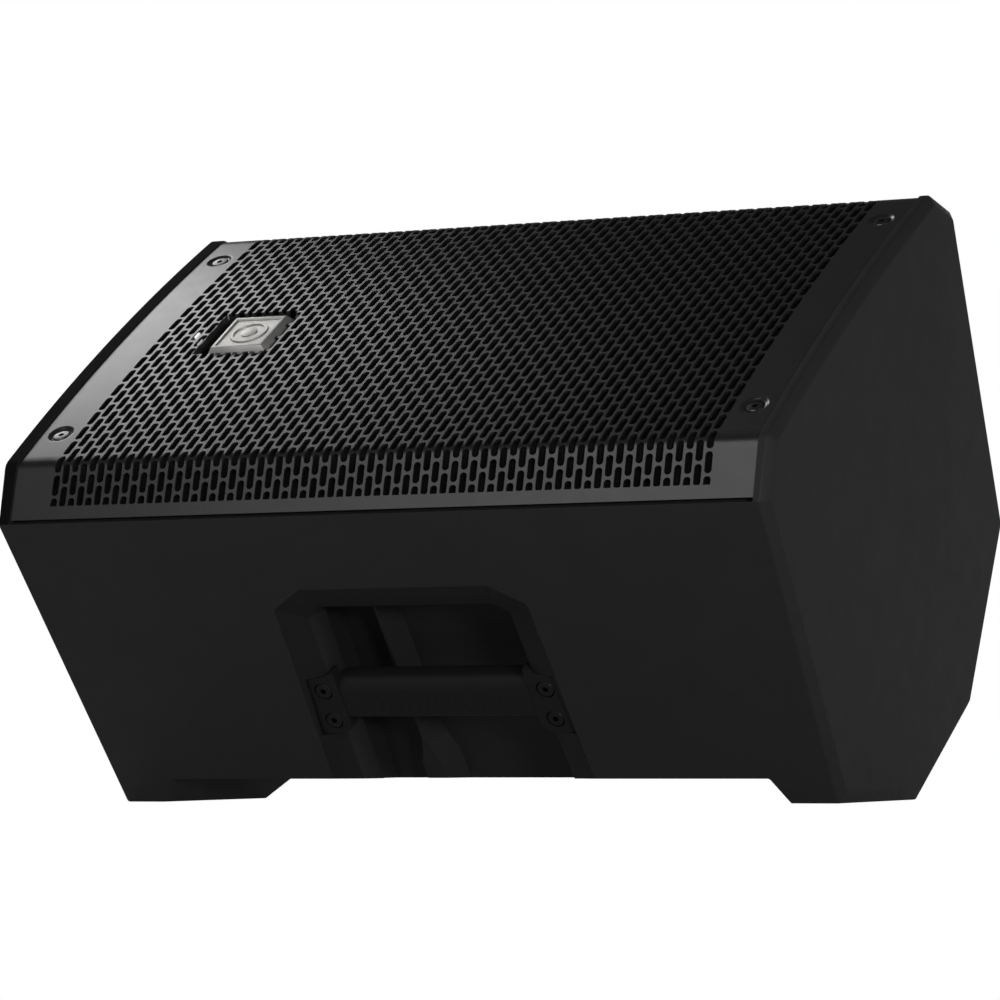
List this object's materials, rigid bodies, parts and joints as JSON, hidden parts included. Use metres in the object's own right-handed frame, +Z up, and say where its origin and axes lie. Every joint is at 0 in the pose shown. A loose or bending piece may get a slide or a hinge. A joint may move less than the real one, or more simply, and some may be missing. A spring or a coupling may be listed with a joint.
{
  "type": "stage monitor wedge",
  "caption": "Two-way active loudspeaker in a moulded cabinet with a bowed perforated grille and a side bar handle, lying on its rear taper as a floor monitor.",
  "frame": {"origin": "middle of the bounding box at floor level, under the moulded feet", "axes": "+X along the cabinet's length away from the badge end, +Y away from the listener, +Z up; the grille faces -Y and up"},
  "size_m": [0.4587, 0.3532, 0.3284],
  "materials": {
    "enclosure_plastic": "fine moulded texture",
    "handle_plastic": "smooth moulded",
    "baffle_plastic": "moulded",
    "grille_steel": "semi-gloss powder coat",
    "acoustic_foam": "open-cell foam",
    "black_screw": "black oxide",
    "badge_metal": "brushed",
    "light_pipe": "translucent",
    "rubber": "matte",
    "frame_steel": "zinc plated",
    "pole_cup_steel": "black coated",
    "ferrite": "matte",
    "cone_paper": "coated paper",
    "coil_copper": "enamelled",
    "spider_cloth": "impregnated cloth",
    "panel_aluminium": "satin powder coat",
    "jack_plastic": "moulded",
    "control_plastic": "moulded",
    "circuit_board": "solder mask",
    "bare_aluminium": "extruded",
    "screen_glass": "clear window"
  },
  "bodies": {
    "cabinet": {"amp_board": "circuit_board", "aux_jack": "jack_plastic", "badge": "badge_metal", "capacitor_1": "jack_plastic", "capacitor_2": "jack_plastic", "combo_jack_1": "jack_plastic", "combo_jack_2": "jack_plastic", "compression_driver": "ferrite", "enclosure_shell": "enclosure_plastic", "end_pad_1": "rubber", "end_pad_2": "rubber", "end_pad_3": "rubber", "end_pad_4": "rubber", "front_baffle": "baffle_plastic", "grille": "grille_steel", "grille_foam": "acoustic_foam", "grille_screw_1": "black_screw", "grille_screw_2": "black_screw", "grille_screw_3": "black_screw", "grille_screw_4": "black_screw", "handle_bar": "handle_plastic", "handle_screw_1": "black_screw", "handle_screw_2": "black_screw", "handle_screw_3": "black_screw", "handle_screw_4": "black_screw", "heat_sink": "bare_aluminium", "horn_waveguide": "baffle_plastic", "link_output": "jack_plastic", "mains_inlet": "jack_plastic", "panel_screw_1": "black_screw", "panel_screw_2": "black_screw", "panel_screw_3": "black_screw", "panel_screw_4": "black_screw", "pole_cup": "pole_cup_steel", "port_tube_1": "baffle_plastic", "port_tube_2": "baffle_plastic", "power_light": "light_pipe", "rear_panel": "panel_aluminium", "screen_window": "screen_glass", "spider": "spider_cloth", "surround": "rubber", "switch_frame": "jack_plastic", "transformer": "coil_copper", "woofer_basket": "frame_steel", "woofer_magnet": "ferrite", "woofer_top_plate": "frame_steel", "woofer_yoke": "frame_steel"},
    "cone_assembly": {"woofer_cone": "cone_paper", "dust_cap": "cone_paper", "voice_coil": "coil_copper"},
    "gain_knob_1": {"gain_knob_1": "control_plastic"},
    "gain_knob_2": {"gain_knob_2": "control_plastic"},
    "encoder_shaft": {"encoder_shaft": "bare_aluminium"},
    "encoder_knob": {"encoder_knob": "control_plastic"},
    "power_rocker": {"power_rocker": "control_plastic"},
    "jack_latch_1": {"jack_latch_1": "jack_plastic"},
    "jack_latch_2": {"jack_latch_2": "jack_plastic"}
  },
  "joints": [
    {"name": "cone_travel", "type": "slide", "parent": "cabinet", "child": "cone_assembly", "axis": [0, -0.5465, 0.8374], "range_m": [-0.005, 0.005], "stiffness_N_per_m": 3000, "deforming": ["surround", "spider"]},
    {"name": "gain_knob_1_turn", "type": "hinge", "parent": "cabinet", "child": "gain_knob_1", "pos_m": [0.06701, 0.10339, 0.04667], "axis": [0, 0.5465, -0.8374], "range_deg": [-140, 140]},
    {"name": "gain_knob_2_turn", "type": "hinge", "parent": "cabinet", "child": "gain_knob_2", "pos_m": [0.06701, 0.08538, 0.03492], "axis": [0, 0.5465, -0.8374], "range_deg": [-140, 140]},
    {"name": "encoder_push", "type": "slide", "parent": "cabinet", "child": "encoder_shaft", "axis": [0, -0.5465, 0.8374], "range_m": [0, 0.0006], "stiffness_N_per_m": 3000, "springref_m": -0.0005},
    {"name": "encoder_turn", "type": "hinge", "parent": "encoder_shaft", "child": "encoder_knob", "pos_m": [0.10851, 0.09585, 0.04175], "axis": [0, 0.5465, -0.8374], "continuous": true},
    {"name": "power_switch", "type": "hinge", "parent": "cabinet", "child": "power_rocker", "pos_m": [-0.05949, 0.09531, 0.04259], "axis": [0, -0.8374, -0.5465], "range_deg": [0, 16]},
    {"name": "jack_latch_1_push", "type": "slide", "parent": "cabinet", "child": "jack_latch_1", "axis": [0, -0.5465, 0.8374], "range_m": [0, 0.0015], "stiffness_N_per_m": 1200, "springref_m": -0.0005},
    {"name": "jack_latch_2_push", "type": "slide", "parent": "cabinet", "child": "jack_latch_2", "axis": [0, -0.5465, 0.8374], "range_m": [0, 0.0015], "stiffness_N_per_m": 1200, "springref_m": -0.0005}
  ]
}
